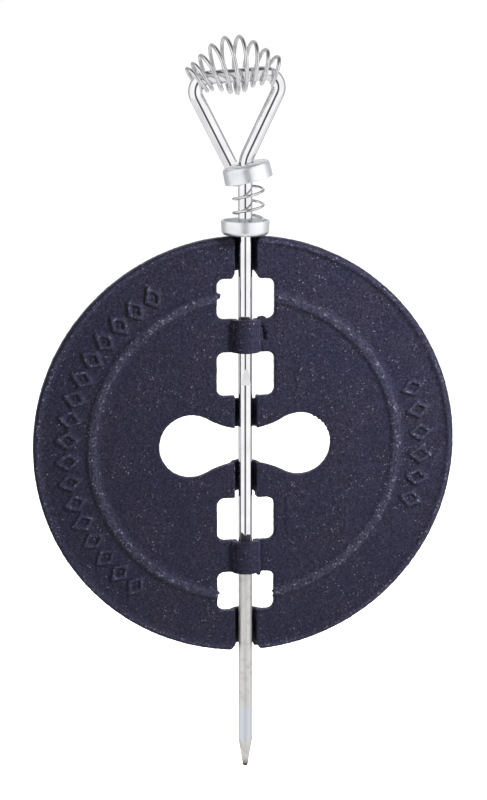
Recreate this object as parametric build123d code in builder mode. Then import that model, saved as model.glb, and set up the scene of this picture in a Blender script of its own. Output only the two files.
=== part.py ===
"""Stovepipe damper: a cast iron plate on a bent steel rod with a coil grip.

The origin is the centre of the plate. +Z runs up the rod towards the grip,
the plate stands in the XZ plane and its front faces -Y. Sizes are in millimetres.
"""

import os
from math import asin, atan2, cos, degrees, hypot, pi, radians, sin, sqrt, tan

from build123d import *

# Cast iron plate
plate_diameter = 171.45
web_thickness = 4.0
rim_width = 3.4
rim_height = 0.9
bead_radius = 62.2
bead_width = 5.8
bead_height = 1.1
ridge_side_run = 0.95
ridge_side_height = 0.65
casting_edge = 0.5

# Openings of the plate
window_half_width = 11.7
window_corner = 3.0
inner_window_start = 21.1
inner_window_height = 17.9
outer_window_start = 52.3
outer_window_height = 16.4
lobe_radius = 12.9
lobe_centre = 22.1
lobe_lift = 0.8
throat_half_height = 6.9
throat_lift = 0.55
neck_sag = 1.1

# Channel that the rod runs in, under three casting straps on each side
front_channel_clearance = 0.35
front_strap_wall = 3.05
back_channel_clearance = 1.6
back_strap_wall = 2.4
top_strap_setback = 2.6
middle_strap_setback = 2.0
bottom_strap_setback = 0.4
bottom_strap_rim_gap = 1.3
rim_flare = 1.8
rim_flare_height = 2.4
window_flare = 1.1
window_flare_height = 1.8
crease_depth = 1.0
crease_inner_run = 0.15
crease_outer_run = 0.7

# Rod and its triangular handle, bent from one round bar
rod_diameter = 5.7
rod_overhang = 51.5
point_length = 11.6
point_end_radius = 1.1
notch_height = 25.7
notch_length = 6.6
notch_depth = 0.8
neck_bend_radius = 12.0
handle_bend_radius = 5.3
right_leg_length = 38.1
right_leg_angle = 25.8
bar_length = 39.4
bar_slope = 3.8
left_leg_angle = 27.1
neck_rise = 1.2

# Cup washers at the two ends of the spring
cup_diameter = 19.4
lower_cup_height = 5.9
upper_cup_height = 6.7
cup_draft = 0.25
cup_wall = 1.0
cup_corner = 1.7
cup_rim_round = 0.35
cup_hole_play = 0.65
cup_spacing = 28.0
upper_cup_tilt = 13.0
seat_gap = 0.25
leg_end_gap = 0.25

# Compression spring
spring_diameter = 13.0
spring_wire = 1.15
spring_open_turns = 3.75
spring_start_angle = 195.0

# Coil grip on the handle's bar
grip_wire = 1.6
grip_diameter = 23.6
grip_play = 2.05
grip_left_angle = 149.4
grip_left_lift = 1.55
grip_right_angle = 49.9
grip_right_lift = 1.8
grip_arch = 5.0
grip_barrel = 2.5
grip_turns = 9.0
grip_first_turn = 0.15
grip_last_turn = 8.85
grip_closed_turns = 1.95
grip_closed_gap = 0.84

# Clearances of the spring: between its closed coils, and to the cups it stands in
spring_closed_gap = 0.65
spring_side_gap = 0.7
spring_end_gap = 0.1

# Edges whose height differs by less than this count as level
level_tolerance = 0.01

# Sizes that follow from the ones above
plate_radius = plate_diameter / 2
front_face = web_thickness / 2
rod_radius = rod_diameter / 2
front_channel_radius = rod_radius + front_channel_clearance
front_arch_radius = front_channel_radius + front_strap_wall
back_channel_radius = rod_radius + back_channel_clearance
back_arch_radius = back_channel_radius + back_strap_wall
through = 4 * back_arch_radius
inner_window_end = inner_window_start + inner_window_height
outer_window_end = outer_window_start + outer_window_height
rod_tip = -(plate_radius + rod_overhang)
rod_shoulder = rod_tip + point_length

lower_cup_seat = plate_radius + seat_gap
upper_cup_top = lower_cup_seat + cup_spacing
neck_height = upper_cup_top + neck_rise

os.makedirs("parts", exist_ok=True)


def along(origin, angle, distance):
    """Point in the XZ plane at a distance from origin, angle in degrees from +X to +Z."""
    return (
        origin[0] + distance * cos(radians(angle)),
        origin[1] + distance * sin(radians(angle)),
    )


# Corners of the handle's centre line in the XZ plane
right_corner = along((0, neck_height), 90 - right_leg_angle, right_leg_length)
left_corner = along(right_corner, 180 + bar_slope, bar_length)
left_leg_heading = -90 + left_leg_angle

# The upper cup's top face is a tilted plane, and the left leg is cut to end just above it
upper_cup_plane = Plane(
    origin=(0, 0, upper_cup_top),
    x_dir=(cos(radians(upper_cup_tilt)), 0, sin(radians(upper_cup_tilt))),
    z_dir=(-sin(radians(upper_cup_tilt)), 0, cos(radians(upper_cup_tilt))),
)
leg_corner_side = along((0, 0), left_leg_heading - 90, rod_radius)
cup_slope = tan(radians(upper_cup_tilt))
leg_step = along((0, 0), left_leg_heading, 1)
leg_corner_start = (left_corner[0] + leg_corner_side[0], left_corner[1] + leg_corner_side[1])
leg_drop = leg_corner_start[1] - upper_cup_top - leg_end_gap - cup_slope * leg_corner_start[0]
left_leg_length = leg_drop / (cup_slope * leg_step[0] - leg_step[1])
left_leg_end = along(left_corner, left_leg_heading, left_leg_length)

# Damper plate
with BuildPart() as damper_plate:
    # Disc, bead and rim turned about the plate's own axis; the bead is on the front only
    with BuildSketch(Plane.XY) as disc_section:
        with BuildLine():
            bead_in = bead_radius - bead_width / 2
            bead_out = bead_radius + bead_width / 2
            rim_in = plate_radius - rim_width
            rim_top = plate_radius - rim_width / 2
            ridge_level = front_face + ridge_side_height
            Polyline(
                (0, front_face),
                (0, -front_face),
                (bead_in, -front_face),
                (bead_in + ridge_side_run, -ridge_level),
            )
            ThreePointArc(
                (bead_in + ridge_side_run, -ridge_level),
                (bead_radius, -front_face - bead_height),
                (bead_out - ridge_side_run, -ridge_level),
            )
            Polyline(
                (bead_out - ridge_side_run, -ridge_level),
                (bead_out, -front_face),
                (rim_in, -front_face),
                (rim_in + ridge_side_run, -ridge_level),
            )
            ThreePointArc(
                (rim_in + ridge_side_run, -ridge_level),
                (rim_top, -front_face - rim_height),
                (plate_radius, -front_face),
            )
            Line((plate_radius, -front_face), (plate_radius, front_face))
            ThreePointArc(
                (plate_radius, front_face),
                (rim_top, front_face + rim_height),
                (rim_in + ridge_side_run, ridge_level),
            )
            Polyline((rim_in + ridge_side_run, ridge_level), (rim_in, front_face), (0, front_face))
        make_face()
    revolve(axis=Axis.Y)

    # Straps: each is a half-round arch over the channel, on the side named by its sign.
    # The windows trim the front ones and the bow-tie the middle ones, which are drawn longer.
    channel_radii = {-1: front_channel_radius, 1: back_channel_radius}
    arch_radii = {-1: front_arch_radius, 1: back_arch_radius}
    plate_end = sqrt(plate_radius**2 - back_arch_radius**2)
    overrun = rod_diameter
    throat_top = throat_lift + throat_half_height
    throat_bottom = throat_lift - throat_half_height
    straps = (
        (inner_window_end - overrun, outer_window_start + overrun, -1),
        (-outer_window_start - overrun, -inner_window_end + overrun, -1),
        (outer_window_end + top_strap_setback, plate_end, 1),
        (-plate_end + bottom_strap_rim_gap, -outer_window_end - bottom_strap_setback, 1),
        (throat_top - overrun, inner_window_start - middle_strap_setback, 1),
        (-inner_window_start + middle_strap_setback, throat_bottom + overrun, 1),
    )

    for low, high, side in straps:
        arch_radius = arch_radii[side]
        with BuildSketch(Plane.XY.offset(low)) as arch_section:
            Circle(arch_radius)
            with Locations((0, side * arch_radius)):
                Rectangle(2 * arch_radius, 2 * arch_radius, mode=Mode.INTERSECT)
        extrude(amount=high - low)

    # Creases where the arches spring from the plate
    crease_above = 2 * bead_height
    crease_growth = (crease_depth + crease_above) / crease_depth
    crease_top = front_face + crease_above
    for low, high, side in straps:
        crease_at = sqrt(arch_radii[side] ** 2 - front_face**2)
        with BuildSketch(Plane.XY.offset(low - overrun)) as creases:
            for hand in (-1, 1):
                with BuildLine():
                    Polyline(
                        (hand * (crease_at - crease_inner_run * crease_growth), side * crease_top),
                        (hand * crease_at, side * (front_face - crease_depth)),
                        (hand * (crease_at + crease_outer_run * crease_growth), side * crease_top),
                        close=True,
                    )
                make_face()
        extrude(amount=high - low + 2 * overrun, mode=Mode.SUBTRACT)

    # Channel: round at the bottom, with straight walls up to its mouth opposite the arch
    for low, high, side in straps:
        channel_radius = channel_radii[side]
        with BuildSketch(Plane.XY.offset(low - overrun)) as channel_section:
            Circle(channel_radius)
            with Locations((0, -side * through / 2)):
                Rectangle(2 * channel_radius, through)
        extrude(amount=high - low + 2 * overrun, mode=Mode.SUBTRACT)

    # Windows beside the rod
    with BuildSketch(Plane.XZ) as windows:
        for start, height in (
            (inner_window_start, inner_window_height),
            (outer_window_start, outer_window_height),
        ):
            for hand in (-1, 1):
                with Locations((0, hand * (start + height / 2))):
                    RectangleRounded(2 * window_half_width, height, window_corner)
    extrude(amount=through, both=True, mode=Mode.SUBTRACT)

    # Bow-tie opening: a round lobe each side, drawn in along hollow necks to the throat
    with BuildSketch(Plane.XZ) as bow_tie:
        with Locations((-lobe_centre, lobe_lift), (lobe_centre, lobe_lift)):
            Circle(lobe_radius)
        with BuildLine():
            for hand in (-1, 1):
                touches = []
                for side in (-1, 1):
                    rise = throat_half_height + side * (throat_lift - lobe_lift)
                    reach = hypot(lobe_centre, rise)
                    side_angle = degrees(asin(lobe_radius / reach) - atan2(rise, lobe_centre))
                    neck_length = sqrt(reach**2 - lobe_radius**2)
                    neck_bend = degrees(4 * neck_sag / neck_length)
                    touch_x, touch_z = along(
                        (lobe_centre, 0), 90 + side_angle + neck_bend, lobe_radius
                    )
                    chord_middle = (touch_x / 2, (touch_z + rise) / 2)
                    sag_x, sag_z = along(chord_middle, side_angle - 90, neck_sag)
                    touches.append((hand * touch_x, lobe_lift + side * touch_z))
                    ThreePointArc(
                        (0, lobe_lift + side * rise),
                        (hand * sag_x, lobe_lift + side * sag_z),
                        touches[-1],
                    )
                Line(*touches)
        make_face()
    extrude(amount=through, both=True, mode=Mode.SUBTRACT)

    # The mouth of the channel flares where it runs out at the rim and into the top window
    with BuildSketch(Plane.XZ.offset(-front_face)) as flares:
        for edge, throat, flare in (
            (plate_radius, plate_radius - rim_flare_height, rim_flare),
            (-plate_radius, rim_flare_height - plate_radius, rim_flare),
            (outer_window_end, outer_window_end + window_flare_height, window_flare),
        ):
            with BuildLine():
                Polyline(
                    (-back_channel_radius, throat),
                    (back_channel_radius, throat),
                    (back_channel_radius + flare, edge),
                    (-back_channel_radius - flare, edge),
                    close=True,
                )
            make_face()
    extrude(amount=through, mode=Mode.SUBTRACT)

    # Cast edges of the windows and the bow-tie are broken on both faces
    opening_edges = [
        edge
        for edge in damper_plate.edges()
        if abs(abs(edge.center().Y) - front_face) < level_tolerance
        and abs(edge.bounding_box().size.Y) < level_tolerance
        and hypot(edge.center().X, edge.center().Z) < bead_in - casting_edge
        and abs(edge.center().X) > back_arch_radius + crease_outer_run
    ]
    chamfer(opening_edges, length=casting_edge)

damper_plate.part.label = "damper_plate"
export_step(damper_plate.part, "parts/damper_plate.step")

# Handle rod
with BuildPart() as handle_rod:
    with BuildLine(Plane.XZ) as rod_line:
        FilletPolyline(
            (0, rod_shoulder),
            (0, neck_height),
            right_corner,
            left_corner,
            left_leg_end,
            radius=(neck_bend_radius, handle_bend_radius, handle_bend_radius),
        )
    with BuildSketch(Plane.XY.offset(rod_shoulder)):
        Circle(rod_radius)
    sweep(path=rod_line.wire())

    # Point at the lower end, with a small round nose
    with BuildSketch(Plane.XZ) as point_section:
        with BuildLine():
            nose = (0, rod_tip)
            nose_side = (point_end_radius, rod_tip + point_end_radius)
            nose_middle = along((0, rod_tip + point_end_radius), -45, point_end_radius)
            Polyline(nose_side, (rod_radius, rod_shoulder), (0, rod_shoulder), nose)
            ThreePointArc(nose, nose_middle, nose_side)
        make_face()
    revolve(axis=Axis.Z)

    # Notch in the front of the rod: a ramp that ends at a square step facing the handle
    with BuildSketch(Plane.YZ) as notch_section:
        with BuildLine():
            Polyline(
                (-rod_radius, notch_height + notch_length),
                (-rod_radius + notch_depth, notch_height),
                (-rod_diameter, notch_height),
                (-rod_diameter, notch_height + notch_length),
                close=True,
            )
        make_face()
    extrude(amount=rod_diameter, both=True, mode=Mode.SUBTRACT)

handle_rod.part.label = "handle_rod"
export_step(handle_rod.part, "parts/handle_rod.step")

# Cup washers: the lower stands open upwards, the upper hangs open downwards and tilted
cup_radius = cup_diameter / 2
cup_floor_radius = cup_radius - cup_draft
cup_hole_radius = rod_radius + cup_hole_play


def cup_section(cup_height):
    """Half section of a cup whose closed end is at the origin and opens along local +Y."""
    with BuildSketch() as section:
        with BuildLine():
            Polyline(
                (cup_hole_radius, cup_wall),
                (cup_hole_radius, 0),
                (cup_floor_radius, 0),
                (cup_radius, cup_height),
                (cup_radius - cup_wall, cup_height),
                (cup_floor_radius - cup_wall, cup_wall),
                close=True,
            )
        make_face()
        corners = section.vertices()
        fillet(corners.sort_by_distance((cup_floor_radius, 0))[0], cup_corner)
        fillet(
            section.vertices().sort_by_distance((cup_floor_radius - cup_wall, cup_wall))[0],
            cup_corner - cup_wall,
        )
        rim = section.vertices().group_by(Axis.Y)[-1]
        fillet(rim, cup_rim_round)
    return section.sketch


lower_section_plane = Plane(origin=(0, 0, lower_cup_seat), x_dir=(1, 0, 0), z_dir=(0, -1, 0))
with BuildPart() as lower_cup:
    with Locations(lower_section_plane):
        add(cup_section(lower_cup_height))
    revolve(axis=Axis.Z)
lower_cup.part.label = "lower_cup"
export_step(lower_cup.part, "parts/lower_cup.step")

upper_cup_axis = Axis(upper_cup_plane.origin, upper_cup_plane.z_dir)
upper_section_plane = Plane(
    origin=upper_cup_plane.origin,
    x_dir=upper_cup_plane.x_dir,
    z_dir=upper_cup_plane.y_dir,
)
with BuildPart() as upper_cup:
    with Locations(upper_section_plane):
        add(cup_section(upper_cup_height))
    revolve(axis=upper_cup_axis)
upper_cup.part.label = "upper_cup"
export_step(upper_cup.part, "parts/upper_cup.step")


def wound_rise(turn, turns, closed_at_start, closed_at_end, closed_pitch, open_pitch):
    """Advance along the axis after a number of turns, close-wound at the ends."""
    closed = min(turn, closed_at_start) + max(0.0, turn - turns + closed_at_end)
    return closed * closed_pitch + (turn - closed) * open_pitch


def unit(vector):
    """Vector of the same direction and a length of one."""
    return vector / vector.length


def biarc_points(start, leave, end, arrive):
    """Joint and its heading where two tangent arcs meet between start and end."""
    chord = end - start
    together = chord.dot(leave + arrive)
    spread = 2 * (1 - leave.dot(arrive))
    reach = (sqrt(together**2 + spread * chord.dot(chord)) - together) / spread
    start_control = start + leave * reach
    end_control = end - arrive * reach
    return (start_control + end_control) * 0.5, unit(end_control - start_control)


def wound_path(centre_line, first_turn, last_turn, lead):
    """Wire through a wound centre line, two arcs for each quarter turn, straight leads."""
    quarter_turns = round((last_turn - first_turn) * 4)
    step = (last_turn - first_turn) / quarter_turns
    nudge = step / 25
    spots = []
    headings = []
    for count in range(quarter_turns + 1):
        turn = first_turn + step * count
        spots.append(Vector(*centre_line(turn)))
        headings.append(
            unit(Vector(*centre_line(turn + nudge)) - Vector(*centre_line(turn - nudge)))
        )
    with BuildLine() as path:
        Line(spots[0] - headings[0] * lead, spots[0])
        for count in range(quarter_turns):
            start, end = spots[count], spots[count + 1]
            joint, heading = biarc_points(start, headings[count], end, headings[count + 1])
            TangentArc(start, joint, tangent=headings[count])
            TangentArc(joint, end, tangent=heading)
        Line(spots[-1], spots[-1] + headings[-1] * lead)
    return path.wire()


def least_gap(path, wire, turns):
    """Least gap of a wound tube to itself, measured on points along its centre line."""
    spots_a_turn = 72
    count = round(turns * spots_a_turn)
    points = [path.position_at(index / count) for index in range(count + 1)]
    apart = spots_a_turn // 2
    least = min(
        (points[low] - points[high]).length
        for low in range(count + 1)
        for high in range(low + apart, count + 1)
    )
    return least - wire


# Compression spring: right-handed, leaning on the right inside of the cups
spring_radius = (spring_diameter - spring_wire) / 2
spring_shift = cup_floor_radius - cup_wall - spring_diameter / 2 - spring_side_gap
spring_closed_pitch = spring_wire + spring_closed_gap
spring_turns = spring_open_turns + 2
spring_bottom = lower_cup_seat + cup_wall + spring_wire / 2 + spring_end_gap
roof_drop = (cup_wall + spring_wire / 2 + spring_end_gap) / cos(radians(upper_cup_tilt))
spring_top = upper_cup_top - roof_drop + spring_shift * cup_slope
spring_open_rise = spring_top - spring_bottom - 2 * spring_closed_pitch
spring_open_pitch = spring_open_rise / spring_open_turns


def spring_line(turn):
    """Centre of the spring's wire; its coils tilt more and more towards the upper cup."""
    angle = radians(spring_start_angle) + 2 * pi * turn
    across = spring_radius * cos(angle)
    rise = wound_rise(turn, spring_turns, 1, 1, spring_closed_pitch, spring_open_pitch)
    lean = cup_slope * across * (turn / spring_turns) ** 2
    return (
        spring_shift + across,
        spring_radius * sin(angle),
        spring_bottom + rise + lean,
    )


with BuildPart() as compression_spring:
    spring_path = wound_path(spring_line, 0, spring_turns, spring_wire)
    with BuildSketch(Plane(origin=spring_path @ 0, z_dir=spring_path % 0)):
        Circle(spring_wire / 2)
    sweep(path=spring_path)
compression_spring.part.label = "compression_spring"
export_step(compression_spring.part, "parts/compression_spring.step")

# Coil grip: a barrel-shaped coil whose axis arches over the handle's bar
grip_end_radius = rod_radius + grip_play + grip_wire / 2
grip_middle_radius = (grip_diameter - grip_wire) / 2


def bend_centre(corner, leg_heading, bar_heading):
    """Centre of the bend between a leg and the bar, given the headings away from the corner."""
    half = (leg_heading - bar_heading) / 2
    return along(corner, bar_heading + half, handle_bend_radius / abs(sin(radians(half))))


left_bend = bend_centre(left_corner, left_leg_heading, bar_slope)
right_bend = bend_centre(right_corner, -90 - right_leg_angle, bar_slope - 180)
grip_left = along(left_bend, grip_left_angle, handle_bend_radius + grip_left_lift)
grip_right = along(right_bend, grip_right_angle, handle_bend_radius + grip_right_lift)

# The grip's axis is an arc through both ends, grip_arch above its chord
grip_chord = hypot(grip_right[0] - grip_left[0], grip_right[1] - grip_left[1])
grip_chord_angle = degrees(atan2(grip_right[1] - grip_left[1], grip_right[0] - grip_left[0]))
grip_axis_radius = (grip_chord**2 / 4 + grip_arch**2) / (2 * grip_arch)
grip_axis_half = degrees(asin(grip_chord / 2 / grip_axis_radius))
grip_middle = along(grip_left, grip_chord_angle, grip_chord / 2)
grip_axis_centre = along(grip_middle, grip_chord_angle - 90, grip_axis_radius - grip_arch)
grip_length = radians(2 * grip_axis_half) * grip_axis_radius
grip_closed_pitch = grip_wire + grip_closed_gap
grip_open_turns = grip_turns - grip_closed_turns
grip_open_pitch = (grip_length - grip_closed_turns * grip_closed_pitch) / grip_open_turns


def grip_line(turn):
    """Centre of the grip's wire, from the lower left round the back of the bar."""
    rise = wound_rise(
        turn, grip_turns, grip_closed_turns, 0, grip_closed_pitch, grip_open_pitch
    )
    share = rise / grip_length
    swell = sin(pi * share) ** grip_barrel
    radius = grip_end_radius + (grip_middle_radius - grip_end_radius) * swell
    spoke = grip_chord_angle + 90 + grip_axis_half * (1 - 2 * share)
    up_part = radius * sin(2 * pi * turn - pi / 2)
    x, z = along(grip_axis_centre, spoke, grip_axis_radius + up_part)
    return (x, radius * cos(2 * pi * turn - pi / 2), z)


with BuildPart() as grip_coil:
    grip_path = wound_path(grip_line, grip_first_turn, grip_last_turn, grip_wire)
    with BuildSketch(Plane(origin=grip_path @ 0, z_dir=grip_path % 0)):
        Circle(grip_wire / 2)
    sweep(path=grip_path)
grip_coil.part.label = "grip_coil"
export_step(grip_coil.part, "parts/grip_coil.step")

print("least gap of the spring to itself", round(least_gap(spring_path, spring_wire, spring_turns), 3))
print("least gap of the grip to itself", round(least_gap(grip_path, grip_wire, grip_turns), 3))
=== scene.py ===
"""Looks of a stovepipe damper: a sand-cast iron plate on a bright bent rod with a coil grip.

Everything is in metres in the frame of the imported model: the origin is the centre of
the plate, +Z runs up the rod towards the grip and the front of the plate faces -Y.
"""

from math import cos, degrees, exp, pi, radians, sin, tan

import bmesh
import bpy
from mathutils import Matrix, Vector, noise

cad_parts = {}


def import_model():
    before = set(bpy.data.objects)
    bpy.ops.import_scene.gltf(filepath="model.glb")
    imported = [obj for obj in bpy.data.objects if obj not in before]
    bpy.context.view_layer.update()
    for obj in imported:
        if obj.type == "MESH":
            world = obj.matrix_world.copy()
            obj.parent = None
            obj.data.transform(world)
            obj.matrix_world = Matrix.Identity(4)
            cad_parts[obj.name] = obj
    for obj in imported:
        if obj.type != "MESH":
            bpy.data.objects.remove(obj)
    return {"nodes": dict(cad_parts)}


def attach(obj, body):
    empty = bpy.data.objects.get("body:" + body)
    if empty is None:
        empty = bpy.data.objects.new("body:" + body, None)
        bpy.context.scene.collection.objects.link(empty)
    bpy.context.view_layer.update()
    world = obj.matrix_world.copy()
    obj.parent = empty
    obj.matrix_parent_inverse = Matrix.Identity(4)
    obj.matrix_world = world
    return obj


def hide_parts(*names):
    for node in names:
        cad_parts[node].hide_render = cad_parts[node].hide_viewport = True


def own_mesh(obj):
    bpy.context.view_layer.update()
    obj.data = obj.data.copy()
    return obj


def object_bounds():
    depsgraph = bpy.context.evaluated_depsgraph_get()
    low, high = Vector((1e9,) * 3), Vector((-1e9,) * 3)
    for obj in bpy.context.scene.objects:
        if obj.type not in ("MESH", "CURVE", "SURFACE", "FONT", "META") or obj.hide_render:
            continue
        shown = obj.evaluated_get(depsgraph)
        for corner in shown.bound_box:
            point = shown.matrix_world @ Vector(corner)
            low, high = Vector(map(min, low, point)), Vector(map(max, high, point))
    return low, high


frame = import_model()
cad_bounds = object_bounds()

MM = 0.001


def srgb(red, green, blue):
    """Linear colour from the 0-255 values that it shows as."""
    linear = []
    for value in (red, green, blue):
        share = value / 255
        linear.append(share / 12.92 if share <= 0.04045 else ((share + 0.055) / 1.055) ** 2.4)
    return (*linear, 1.0)


def grey(value):
    return (value, value, value, 1.0)


class Nodes:
    """Short way to lay out the nodes of a world or a material."""

    def __init__(self, owner):
        owner.use_nodes = True
        self.tree = owner.node_tree
        self.tree.nodes.clear()

    def link(self, source, target):
        self.tree.links.new(source, target)

    def add(self, kind, inputs=None, **settings):
        node = self.tree.nodes.new(kind)
        for key, value in settings.items():
            setattr(node, key, value)
        for key, value in (inputs or {}).items():
            if isinstance(value, bpy.types.NodeSocket):
                self.link(value, node.inputs[key])
            else:
                node.inputs[key].default_value = value
        return node

    def place(self):
        """Coordinates that stay with the piece, in metres."""
        return self.add("ShaderNodeTexCoord").outputs["Object"]

    def noise(self, scale, detail=3.0, roughness=0.55, at=None):
        node = self.add(
            "ShaderNodeTexNoise",
            {"Vector": at or self.place(), "Scale": scale, "Detail": detail, "Roughness": roughness},
        )
        return node.outputs["Fac"]

    def remap(self, value, low, high, to_low=0.0, to_high=1.0):
        node = self.add(
            "ShaderNodeMapRange",
            {"Value": value, "From Min": low, "From Max": high, "To Min": to_low, "To Max": to_high},
        )
        return node.outputs["Result"]

    def maths(self, operation, first, second):
        return self.add("ShaderNodeMath", {0: first, 1: second}, operation=operation).outputs[0]

    def mix(self, share, first, second):
        """Mix of two colours, whose sockets come after those for numbers and vectors."""
        node = self.add("ShaderNodeMix", {"Factor": share}, data_type="RGBA")
        for socket, value in ((node.inputs[6], first), (node.inputs[7], second)):
            if isinstance(value, bpy.types.NodeSocket):
                self.link(value, socket)
            else:
                socket.default_value = value
        return node.outputs[2]

    def bump(self, height, distance, strength=1.0, after=None):
        inputs = {"Height": height, "Distance": distance, "Strength": strength}
        if after is not None:
            inputs["Normal"] = after
        return self.add("ShaderNodeBump", inputs).outputs["Normal"]


class Surface(Nodes):
    """Nodes of a new material, with its shader and output in place."""

    def __init__(self, name):
        self.material = bpy.data.materials.new(name)
        super().__init__(self.material)
        output = self.add("ShaderNodeOutputMaterial")
        self.shader = self.add("ShaderNodeBsdfPrincipled")
        self.link(self.shader.outputs["BSDF"], output.inputs["Surface"])


def cast_iron():
    """Dark blue-black iron with the fine grain of the sand mould, rougher in some places.

    The crests of the bead, the rim and the border are rubbed lighter. Bright specks painted
    into the base colour are painted highlights for the lamps' glints on the grain, more of them on
    these crests.
    """
    blue, brown, hollow = srgb(41, 42, 63), srgb(49, 46, 62), srgb(26, 25, 38)
    # The lighter tone of rubbed crests, and the colour of the painted highlights
    worn, painted_glint_tint = srgb(78, 78, 98), srgb(122, 122, 140)
    crest_start, crest_full = -2.6 * MM, -2.92 * MM
    strap_full, strap_start = -3.4 * MM, -4.0 * MM

    n = Surface("cast_iron_sand_grain")
    place = n.place()
    grain = n.noise(1100, 4, 0.7, place)
    coarse = n.noise(430, 3, 0.6, place)
    patches = n.noise(45, 4, 0.6, place)
    sandy = n.remap(n.noise(95, 3, 0.6, place), 0.42, 0.6)
    speck = n.add("ShaderNodeTexVoronoi", {"Vector": place, "Scale": 900.0}).outputs["Distance"]
    tone = n.mix(n.remap(patches, 0.35, 0.65), blue, brown)
    tone = n.mix(n.remap(grain, 0.4, 0.6), hollow, tone)

    depth = n.add("ShaderNodeSeparateXYZ", {"Vector": place}).outputs["Y"]
    proud = n.maths(
        "MULTIPLY",
        n.remap(depth, crest_start, crest_full),
        n.remap(depth, strap_start, strap_full),
    )
    rubbed = n.maths("MULTIPLY", proud, n.remap(grain, 0.3, 0.7, 0.0, 0.45))
    tone = n.mix(rubbed, tone, worn)

    # Painted highlights: bright specks in the base colour stand in for the lamps' glints on the sand
    # grain, with more of them on the raised crests
    painted_glints = n.maths("MULTIPLY", n.remap(speck, 0.3, 0.12), n.remap(coarse, 0.5, 0.6))
    painted_glints = n.maths("MULTIPLY", painted_glints, n.remap(sandy, 0.0, 1.0, 0.25, 1.0))
    painted_crest_glints = n.maths("MULTIPLY", n.remap(speck, 0.45, 0.2), n.remap(coarse, 0.48, 0.6, 0.0, 0.8))
    painted_glints = n.maths("MAXIMUM", painted_glints, n.maths("MULTIPLY", painted_crest_glints, proud))
    tone = n.mix(painted_glints, tone, painted_glint_tint)
    n.link(tone, n.shader.inputs["Base Color"])
    n.link(n.remap(grain, 0.3, 0.7, 0.32, 0.5), n.shader.inputs["Roughness"])
    n.shader.inputs["Specular IOR Level"].default_value = 0.14

    first = n.bump(coarse, 0.5 * MM, n.remap(sandy, 0.0, 1.0, 0.5, 1.0))
    second = n.bump(grain, 0.3 * MM, n.remap(sandy, 0.0, 1.0, 0.55, 1.0), first)
    n.link(second, n.shader.inputs["Normal"])
    return n.material


def bright_metal(name, tint, haze_tint, roughness, streak_scale, marks, metal=1.0, wear_and_strap_shade=False):
    """Bright plating over drawn steel: faint draw marks along the piece and soft haze."""
    n = Surface(name)
    place = n.place()
    stretched = n.add("ShaderNodeMapping", {"Vector": place, "Scale": streak_scale}).outputs["Vector"]
    streaks = n.noise(1.0, 5, 0.65, stretched)
    haze = n.noise(160, 3, 0.5, place)
    tone = n.mix(n.remap(haze, 0.3, 0.7), tint, haze_tint)
    rough = n.remap(streaks, 0.3, 0.7, *roughness)
    n.shader.inputs["Metallic"].default_value = metal
    if wear_and_strap_shade:
        tone, rough = add_wear(n, place, streaks, tone, rough)
        # Painted shade of the straps on the rod's front, laid over its real wear
        tone, rough = add_painted_strap_shade(n, place, tone, rough)
    n.link(tone, n.shader.inputs["Base Color"])
    n.link(rough, n.shader.inputs["Roughness"])
    n.link(n.bump(streaks, 0.02 * MM, marks), n.shader.inputs["Normal"])
    return n.material


def add_wear(n, place, streaks, tone, rough):
    """Dull bare end of the rod below the lower strap, paler before its point, dark at the tip."""
    dull, pale, stain = srgb(224, 223, 221), srgb(243, 242, 241), srgb(196, 184, 170)
    clean_tint, tip_tint = srgb(230, 234, 241), srgb(92, 82, 82)
    bare_start, bare_full = -50.5 * MM, -53.5 * MM
    clean_start, clean_full = -109.5 * MM, -111.5 * MM
    clean_last, clean_end = -123.5 * MM, -126.2 * MM
    tip_start, tip_full = -133.8 * MM, -136.2 * MM
    bare_roughness = 0.5

    height = n.add("ShaderNodeSeparateXYZ", {"Vector": place}).outputs["Z"]
    worn = n.mix(n.remap(streaks, 0.35, 0.65), dull, pale)
    stains = n.remap(n.noise(300, 4, 0.65, place), 0.5, 0.72, 0.0, 0.55)
    worn = n.mix(stains, worn, stain)
    clean = n.maths(
        "MULTIPLY",
        n.remap(height, clean_start, clean_full),
        n.remap(height, clean_end, clean_last),
    )
    worn = n.mix(clean, worn, clean_tint)
    worn = n.mix(n.remap(height, tip_start, tip_full), worn, tip_tint)
    bare = n.remap(height, bare_start, bare_full)
    rough = n.maths("ADD", rough, n.maths("MULTIPLY", bare, bare_roughness))
    return n.mix(bare, tone, worn), rough


def add_painted_strap_shade(n, place, tone, rough):
    """Painted shade: the dark reflection and shadow of each strap, painted black onto the rod's front
    just above both straps.
    """
    # A black, non-metal colour painted where each strap's dark reflection and shadow fall on the rod
    black = srgb(34, 33, 46)
    strap_shade_roughness = 0.4
    raggedness = -1.6 * MM
    front_start, front_full = -1.6 * MM, -2.1 * MM
    # Heights in millimetres between which the ragged upper edge and the straight lower one fade
    edges = ((-36.4, -36.9, -39.6, -39.5), (52.8, 52.3, 51.0, 51.1))

    split = n.add("ShaderNodeSeparateXYZ", {"Vector": place})
    height = split.outputs["Z"]
    ragged = n.remap(n.noise(520, 2, 0.5, place), 0.3, 0.7, 0, raggedness)
    ragged = n.maths("ADD", height, ragged)
    marks = []
    for top_end, top_full, bottom_end, bottom_full in edges:
        upper = n.remap(ragged, top_end * MM, top_full * MM)
        lower = n.remap(height, bottom_end * MM, bottom_full * MM)
        marks.append(n.maths("MULTIPLY", upper, lower))
    front = n.remap(split.outputs["Y"], front_start, front_full)
    strap_shade = n.maths("MULTIPLY", n.maths("ADD", *marks), front)
    n.link(n.maths("SUBTRACT", 1.0, strap_shade), n.shader.inputs["Metallic"])
    rough = n.maths("ADD", rough, n.maths("MULTIPLY", strap_shade, strap_shade_roughness))
    return n.mix(strap_shade, tone, black), rough


def add_object(name, data):
    piece = bpy.data.objects.new(name, data)
    bpy.context.scene.collection.objects.link(piece)
    return piece


def assign(piece, material):
    piece.data.materials.clear()
    piece.data.materials.append(material)


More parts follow.
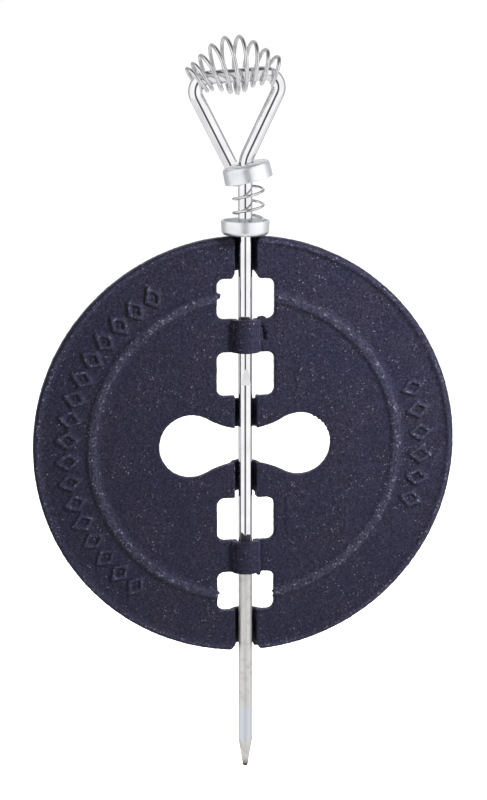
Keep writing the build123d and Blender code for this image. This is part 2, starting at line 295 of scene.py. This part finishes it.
nodes = frame["nodes"]
iron = cast_iron()
rod_metal = bright_metal(
    "bright_nickel_rod",
    tint=srgb(252, 252, 253),
    haze_tint=srgb(240, 240, 243),
    roughness=(0.05, 0.1),
    streak_scale=(3000, 3000, 40),
    marks=0.12,
    # Adds the rod's wear and the painted shade of the straps
    wear_and_strap_shade=True,
)
wire_metal = bright_metal(
    "bright_nickel_wire",
    tint=srgb(246, 246, 247),
    haze_tint=srgb(216, 216, 218),
    roughness=(0.17, 0.25),
    streak_scale=(900, 900, 900),
    marks=0.04,
)
cup_metal = bright_metal(
    "zinc_cup",
    tint=srgb(253, 254, 255),
    haze_tint=srgb(238, 241, 247),
    roughness=(0.28, 0.4),
    streak_scale=(400, 400, 400),
    marks=0.15,
    metal=0.93,
)
assign(nodes["handle_rod"], rod_metal)
assign(nodes["grip_coil"], wire_metal)
assign(nodes["upper_cup"], cup_metal)
assign(nodes["lower_cup"], cup_metal)


# Damper plate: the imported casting, its raised ornament and the small faults of the mould.
# Sizes and places on it are in millimetres.

front_face = 2.0
ornament_sunk = 0.6
skin_grain = 0.45
scallop_radius = 12.95
scallop_centre = (22.1, 0.8)

# Ends of the bead that stand into the windows, and flash where the mould halves met: x, z, size
nubs = (
    (-11.2, 62.1, 1.3), (-11.0, 61.2, 0.8), (-11.4, -60.9, 0.9), (11.3, -61.0, 0.7), (11.5, -63.2, 0.7),
    (5.6, 53.0, 0.8), (6.5, 53.0, 0.9), (7.5, 52.8, 0.7), (5.3, -53.3, 1.0), (-10.6, 71.6, 0.5),
)

# Low upright ribs above the bow-tie's right lobe: x, z, half length
ribs = (
    (22.0, 32.4, 1.5), (21.2, 30.6, 1.0), (22.2, 25.4, 1.2), (21.4, 24.0, 1.3), (20.6, 27.6, 0.6),
)

# Waves of the casting and grain of the sand: scale in waves per metre, height
relief = ((160, 0.05), (420, 0.06), (900, 0.11))

# A crack beside the upper strap and small pits: x, z, radius, depth
pits = (
    (6.9, 47.7, 0.7, 1.3), (7.4, 46.5, 0.8, 1.6), (6.8, 45.3, 0.7, 1.4), (7.6, 44.3, 0.7, 1.2),
    (6.6, 49.1, 0.6, 0.9), (11.0, 48.6, 0.5, 0.3), (-8.6, -42.0, 0.6, 0.4), (16.5, 20.5, 0.7, 0.3),
)


def add_bar(mesh, start, end, width, height):
    """Raised stroke on the front face between two points of it, drawn on a little at its ends."""
    run = Vector((end[0] - start[0], 0, end[1] - start[1]))
    middle = Vector((start[0] + end[0], 0, start[1] + end[1])) / 2
    middle.y = -front_face - (height - ornament_sunk) / 2
    turn = Vector((1, 0, 0)).rotation_difference(run.normalized()).to_matrix().to_4x4()
    overlap = width * 0.7
    size = Matrix.Diagonal((run.length + overlap, height + ornament_sunk, width, 1))
    place = Matrix.Scale(MM, 4) @ Matrix.Translation(middle) @ turn @ size
    bmesh.ops.create_cube(mesh, size=1.0, matrix=place)


def add_pip(mesh, centre, radii):
    """Round lump at a point, with its half sizes along X, Y and Z."""
    place = Matrix.Scale(MM, 4) @ Matrix.Translation(centre) @ Matrix.Diagonal((*radii, 1))
    bmesh.ops.create_icosphere(mesh, subdivisions=2, radius=1.0, matrix=place)


def spoke(radius, angle):
    """Point of the plate's face at a radius and an angle in degrees from +X to +Z."""
    return (radius * cos(radians(angle)), radius * sin(radians(angle)))


def add_lozenges(mesh, first_angle, last_angle, count):
    """Border of raised lozenges with a pip in each, along the band outside the bead."""
    inner, outer, half_width = 68.0, 76.4, 2.9
    stroke_width, stroke_height = 1.25, 0.95
    pip_radii = (0.75, 0.7, 0.75)
    for index in range(count):
        angle = first_angle + (last_angle - first_angle) * index / (count - 1)
        middle = (inner + outer) / 2
        side = degrees(half_width / middle)
        corners = (
            spoke(inner, angle),
            spoke(middle, angle + side),
            spoke(outer, angle),
            spoke(middle, angle - side),
        )
        for start, end in zip(corners, corners[1:] + corners[:1]):
            add_bar(mesh, start, end, stroke_width, stroke_height)
        x, z = spoke(middle, angle)
        add_pip(mesh, (x, -front_face, z), pip_radii)


def add_pad(mesh, centre, half_sides, corner, height):
    """Plain low pad with rounded corners on the front face."""
    outline = []
    corner_steps = 6
    for quarter, (sx, sz) in enumerate(((1, 1), (-1, 1), (-1, -1), (1, -1))):
        for step in range(corner_steps + 1):
            angle = radians(90 * (quarter + step / corner_steps))
            outline.append(
                (
                    centre[0] + sx * (half_sides[0] - corner) + corner * cos(angle),
                    centre[1] + sz * (half_sides[1] - corner) + corner * sin(angle),
                )
            )
    rings = []
    for depth in (front_face - ornament_sunk, front_face + height):
        rings.append([mesh.verts.new(Vector((x, -depth, z)) * MM) for x, z in outline])
    sunk, top = rings
    mesh.faces.new(sunk)
    mesh.faces.new(list(reversed(top)))
    for index in range(len(outline)):
        after = (index + 1) % len(outline)
        mesh.faces.new((sunk[after], sunk[index], top[index], top[after]))


def add_mould_faults(mesh):
    """Small lumps that the mould left: nubs, ribs, and fine scallops round the right lobe."""
    nub_depth, nub_height = -1.2, 1.1
    for x, z, size in nubs:
        add_pip(mesh, (x, nub_depth, z), (size, nub_height, size * 0.75))

    rib_half_width, rib_height = 0.45, 0.4
    for x, z, half_length in ribs:
        add_pip(mesh, (x, -front_face, z), (rib_half_width, rib_height, half_length))

    scallop_count, scallop_first, scallop_step = 14, -58, 9.3
    scallop_depth, scallop_radii = -1.5, (0.55, 0.8, 0.55)
    for step in range(scallop_count):
        x, z = spoke(scallop_radius, scallop_first + step * scallop_step)
        place = (scallop_centre[0] + x, scallop_depth, scallop_centre[1] + z)
        add_pip(mesh, place, scallop_radii)


def join_as_skin(piece):
    """Turn the solids of a piece into one skin with rounded edges."""
    remesh = piece.modifiers.new("skin", "REMESH")
    remesh.mode = "VOXEL"
    remesh.voxel_size = skin_grain * MM
    smooth = piece.modifiers.new("round", "SMOOTH")
    smooth.factor = 0.5
    smooth.iterations = 1
    depsgraph = bpy.context.evaluated_depsgraph_get()
    skin = bpy.data.meshes.new_from_object(piece.evaluated_get(depsgraph))
    piece.modifiers.clear()
    piece.data = skin


def roughen(skin):
    """Move the skin along its normals by the relief and the pits, which fade at twice their radius."""
    pit_reach = 2
    pits_above = -front_face / 2 * MM
    moved = []
    for vertex in skin.vertices:
        at = vertex.co
        rise = sum(noise.noise(at * scale) * height for scale, height in relief)
        if at.y < pits_above:
            for x, z, radius, depth in pits:
                away = ((at.x / MM - x) ** 2 + (at.z / MM - z) ** 2) / radius**2
                if away < pit_reach**2:
                    rise -= depth * exp(-away)
        moved.append(at + vertex.normal * rise * MM)
    for vertex, place in zip(skin.vertices, moved):
        vertex.co = place


def iron_plate():
    """The plate with its ornament as one cast skin."""
    mesh = bmesh.new()
    mesh.from_mesh(nodes["damper_plate"].data)
    add_lozenges(mesh, first_angle=121, last_angle=231, count=17)
    add_lozenges(mesh, first_angle=-19, last_angle=18.5, count=6)
    add_pad(mesh, centre=(29.2, -28.2), half_sides=(12.5, 9.5), corner=3.0, height=0.35)
    add_mould_faults(mesh)
    joined = bpy.data.meshes.new("iron_plate_solids")
    mesh.to_mesh(joined)
    mesh.free()

    piece = add_object("iron_plate", joined)
    join_as_skin(piece)
    roughen(piece.data)
    piece.data.shade_smooth()
    assign(piece, iron)
    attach(piece, "plate")
    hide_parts("damper_plate")


# Compression spring and the cups it stands in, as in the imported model, in millimetres and degrees

spring_diameter = 13.0
spring_wire = 1.15
spring_closed_pitch = 1.8
spring_open_turns = 3.75
spring_start_angle = 195.0
spring_side_gap = 0.7
spring_end_gap = 0.1
cup_diameter = 19.4
cup_draft = 0.25
cup_wall = 1.0
cup_spacing = 28.0
upper_cup_tilt = 13.0
plate_diameter = 171.45
seat_gap = 0.25
lower_cup_seat = plate_diameter / 2 + seat_gap


def tube(name, centres, radius, sides=20):
    """Round wire along a list of points, in metres, its ends slightly rounded."""
    end_share = 0.8
    mesh = bmesh.new()
    rings = []
    last = len(centres) - 1
    side = Vector((0, 0, 1)).cross(centres[1] - centres[0]).normalized()
    for index, centre in enumerate(centres):
        heading = (centres[min(index + 1, last)] - centres[max(index - 1, 0)]).normalized()
        side = (side - heading * side.dot(heading)).normalized()
        other = heading.cross(side)
        thick = radius * (end_share if index in (0, last) else 1.0)
        ring = []
        for step in range(sides):
            angle = 2 * pi * step / sides
            ring.append(mesh.verts.new(centre + (side * cos(angle) + other * sin(angle)) * thick))
        rings.append(ring)
    for low, high in zip(rings, rings[1:]):
        for step in range(sides):
            after = (step + 1) % sides
            mesh.faces.new((low[step], low[after], high[after], high[step]))
    mesh.faces.new(list(reversed(rings[0])))
    mesh.faces.new(rings[-1])
    data = bpy.data.meshes.new(name)
    mesh.to_mesh(data)
    mesh.free()
    data.shade_smooth()
    return add_object(name, data)


def spring_centres():
    """Points along the right-handed wire, which leans on the right inside of the cups."""
    radius = (spring_diameter - spring_wire) / 2
    shift = cup_diameter / 2 - cup_draft - cup_wall - spring_diameter / 2 - spring_side_gap
    slope = tan(radians(upper_cup_tilt))
    standoff = cup_wall + spring_wire / 2 + spring_end_gap
    bottom = lower_cup_seat + standoff
    top = lower_cup_seat + cup_spacing - standoff / cos(radians(upper_cup_tilt)) + shift * slope
    turns = spring_open_turns + 2
    open_pitch = (top - bottom - 2 * spring_closed_pitch) / spring_open_turns

    def centre(turn):
        angle = radians(spring_start_angle) + 2 * pi * turn
        across = radius * cos(angle)
        closed = min(turn, 1) + max(0.0, turn - turns + 1)
        rise = closed * spring_closed_pitch + (turn - closed) * open_pitch
        lean = slope * across * (turn / turns) ** 2
        return Vector((shift + across, radius * sin(angle), bottom + rise + lean)) * MM

    steps_per_turn = 64
    count = round(turns * steps_per_turn)
    centres = [centre(turns * index / count) for index in range(count + 1)]

    # Straight ends one wire long, with a last short step where the wire is rounded off
    before_tip = 0.92
    first = (centres[0] - centres[1]).normalized() * spring_wire * MM
    final = (centres[-1] - centres[-2]).normalized() * spring_wire * MM
    return [
        centres[0] + first,
        centres[0] + first * before_tip,
        *centres,
        centres[-1] + final * before_tip,
        centres[-1] + final,
    ]


def coil_spring():
    """Spring with closed end coils, which the rod's push shortens."""
    piece = tube("coil_spring", spring_centres(), spring_wire / 2 * MM)
    assign(piece, wire_metal)
    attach(piece, "spring")
    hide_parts("compression_spring")
    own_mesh(piece)


iron_plate()
coil_spring()


# Level direction from the plate to the camera, a little left of straight ahead
view_azimuth = radians(-8.2)
view_front = (sin(view_azimuth), -cos(view_azimuth), 0)


def face_plate(piece, place):
    """Put a camera or lamp in its place, turned to the plate's centre."""
    piece.location = place
    piece.rotation_mode = "QUATERNION"
    piece.rotation_quaternion = (-Vector(place)).to_track_quat("-Z", "Y")


def camera():
    """A long lens in front, a little left of the plate and above it."""
    elevation, distance = radians(12.7), 0.85
    away = Vector(view_front) * cos(elevation) + Vector((0, 0, sin(elevation)))
    data = bpy.data.cameras.new("camera")
    data.sensor_width = 36.0
    data.lens = 94.4
    data.shift_x = -0.0022
    data.shift_y = 0.0580
    data.clip_start = 0.01
    data.clip_end = 20.0
    piece = add_object("camera", data)
    face_plate(piece, away * distance)
    bpy.context.scene.camera = piece


def lamp(name, place, side, power):
    """Square lamp turned to the plate, which bright metal doesn't mirror."""
    data = bpy.data.lights.new(name, "AREA")
    data.shape = "SQUARE"
    data.size = side
    data.energy = power
    piece = add_object(name, data)
    piece.visible_glossy = False
    face_plate(piece, place)


def world():
    """White studio. Bright metal also sees the dark gaps between the soft boxes."""
    fill_light = 0.2
    space = bpy.data.worlds.new("studio")
    bpy.context.scene.world = space
    n = Nodes(space)
    paths = n.add("ShaderNodeLightPath")
    around = n.add("ShaderNodeTexCoord").outputs["Generated"]
    split = n.add("ShaderNodeSeparateXYZ", {"Vector": around})
    height = split.outputs["Z"]

    # Brightness round the horizon, from straight behind (0) to straight in front (1)
    stops = (
        (0.0, 0.8), (0.04, 0.6), (0.08, 0.42), (0.3, 0.42), (0.42, 0.85),
        (0.5, 1.0), (0.978, 1.0), (0.991, 0.13), (1.0, 0.08),
    )
    level = n.add("ShaderNodeCombineXYZ", {"X": split.outputs["X"], "Y": split.outputs["Y"]})
    flat = n.add("ShaderNodeVectorMath", {0: level.outputs["Vector"]}, operation="NORMALIZE")
    facing = n.add(
        "ShaderNodeVectorMath", {0: flat.outputs["Vector"], 1: view_front}, operation="DOT_PRODUCT"
    )
    ramp = n.add("ShaderNodeValToRGB", {"Fac": n.remap(facing.outputs["Value"], -1.0, 1.0)})
    while len(ramp.color_ramp.elements) < len(stops):
        ramp.color_ramp.elements.new(0.5)
    for element, (position, value) in zip(ramp.color_ramp.elements, stops):
        element.position = position
        element.color = grey(value)

    # Pale below the horizon and dark overhead
    mirrored = n.mix(n.remap(height, -0.34, -0.42), ramp.outputs["Color"], grey(0.8))
    mirrored = n.mix(n.remap(height, 0.72, 0.9), mirrored, grey(0.12))
    seen = n.mix(paths.outputs["Is Glossy Ray"], grey(1.0), mirrored)
    strong = n.maths("MAXIMUM", paths.outputs["Is Camera Ray"], paths.outputs["Is Glossy Ray"])
    strength = n.remap(strong, 0.0, 1.0, fill_light, 1.0)
    background = n.add("ShaderNodeBackground", {"Color": seen, "Strength": strength})
    output = n.add("ShaderNodeOutputWorld")
    n.link(background.outputs["Background"], output.inputs["Surface"])


def floor():
    """Plain pale floor, low enough for the rod's point when the spring is pressed down."""
    push_room = 12.5 * MM
    n = Surface("pale_floor")
    n.shader.inputs["Base Color"].default_value = grey(0.8)
    n.shader.inputs["Roughness"].default_value = 0.9
    n.shader.inputs["Specular IOR Level"].default_value = 0.1
    paths = n.add("ShaderNodeLightPath")
    seen = n.maths("MAXIMUM", paths.outputs["Is Camera Ray"], paths.outputs["Is Glossy Ray"])
    n.link(n.maths("MULTIPLY", seen, 0.95), n.shader.inputs["Emission Strength"])
    n.shader.inputs["Emission Color"].default_value = grey(1.0)
    bpy.ops.mesh.primitive_plane_add(size=40, location=(0, 0, cad_bounds[0][2] - push_room))
    piece = bpy.context.object
    piece.name = "floor"
    piece.visible_glossy = False
    assign(piece, n.material)


camera()
lamp("key", (0.248, -0.205, 0.238), side=0.07, power=2.8)
lamp("soft_box", (0.4, -0.42, 0.5), side=0.45, power=1.2)
lamp("back_box", (-0.4, 0.5, 0.4), side=0.6, power=6.0)
world()
floor()

bpy.context.scene.view_settings.view_transform = "Standard"
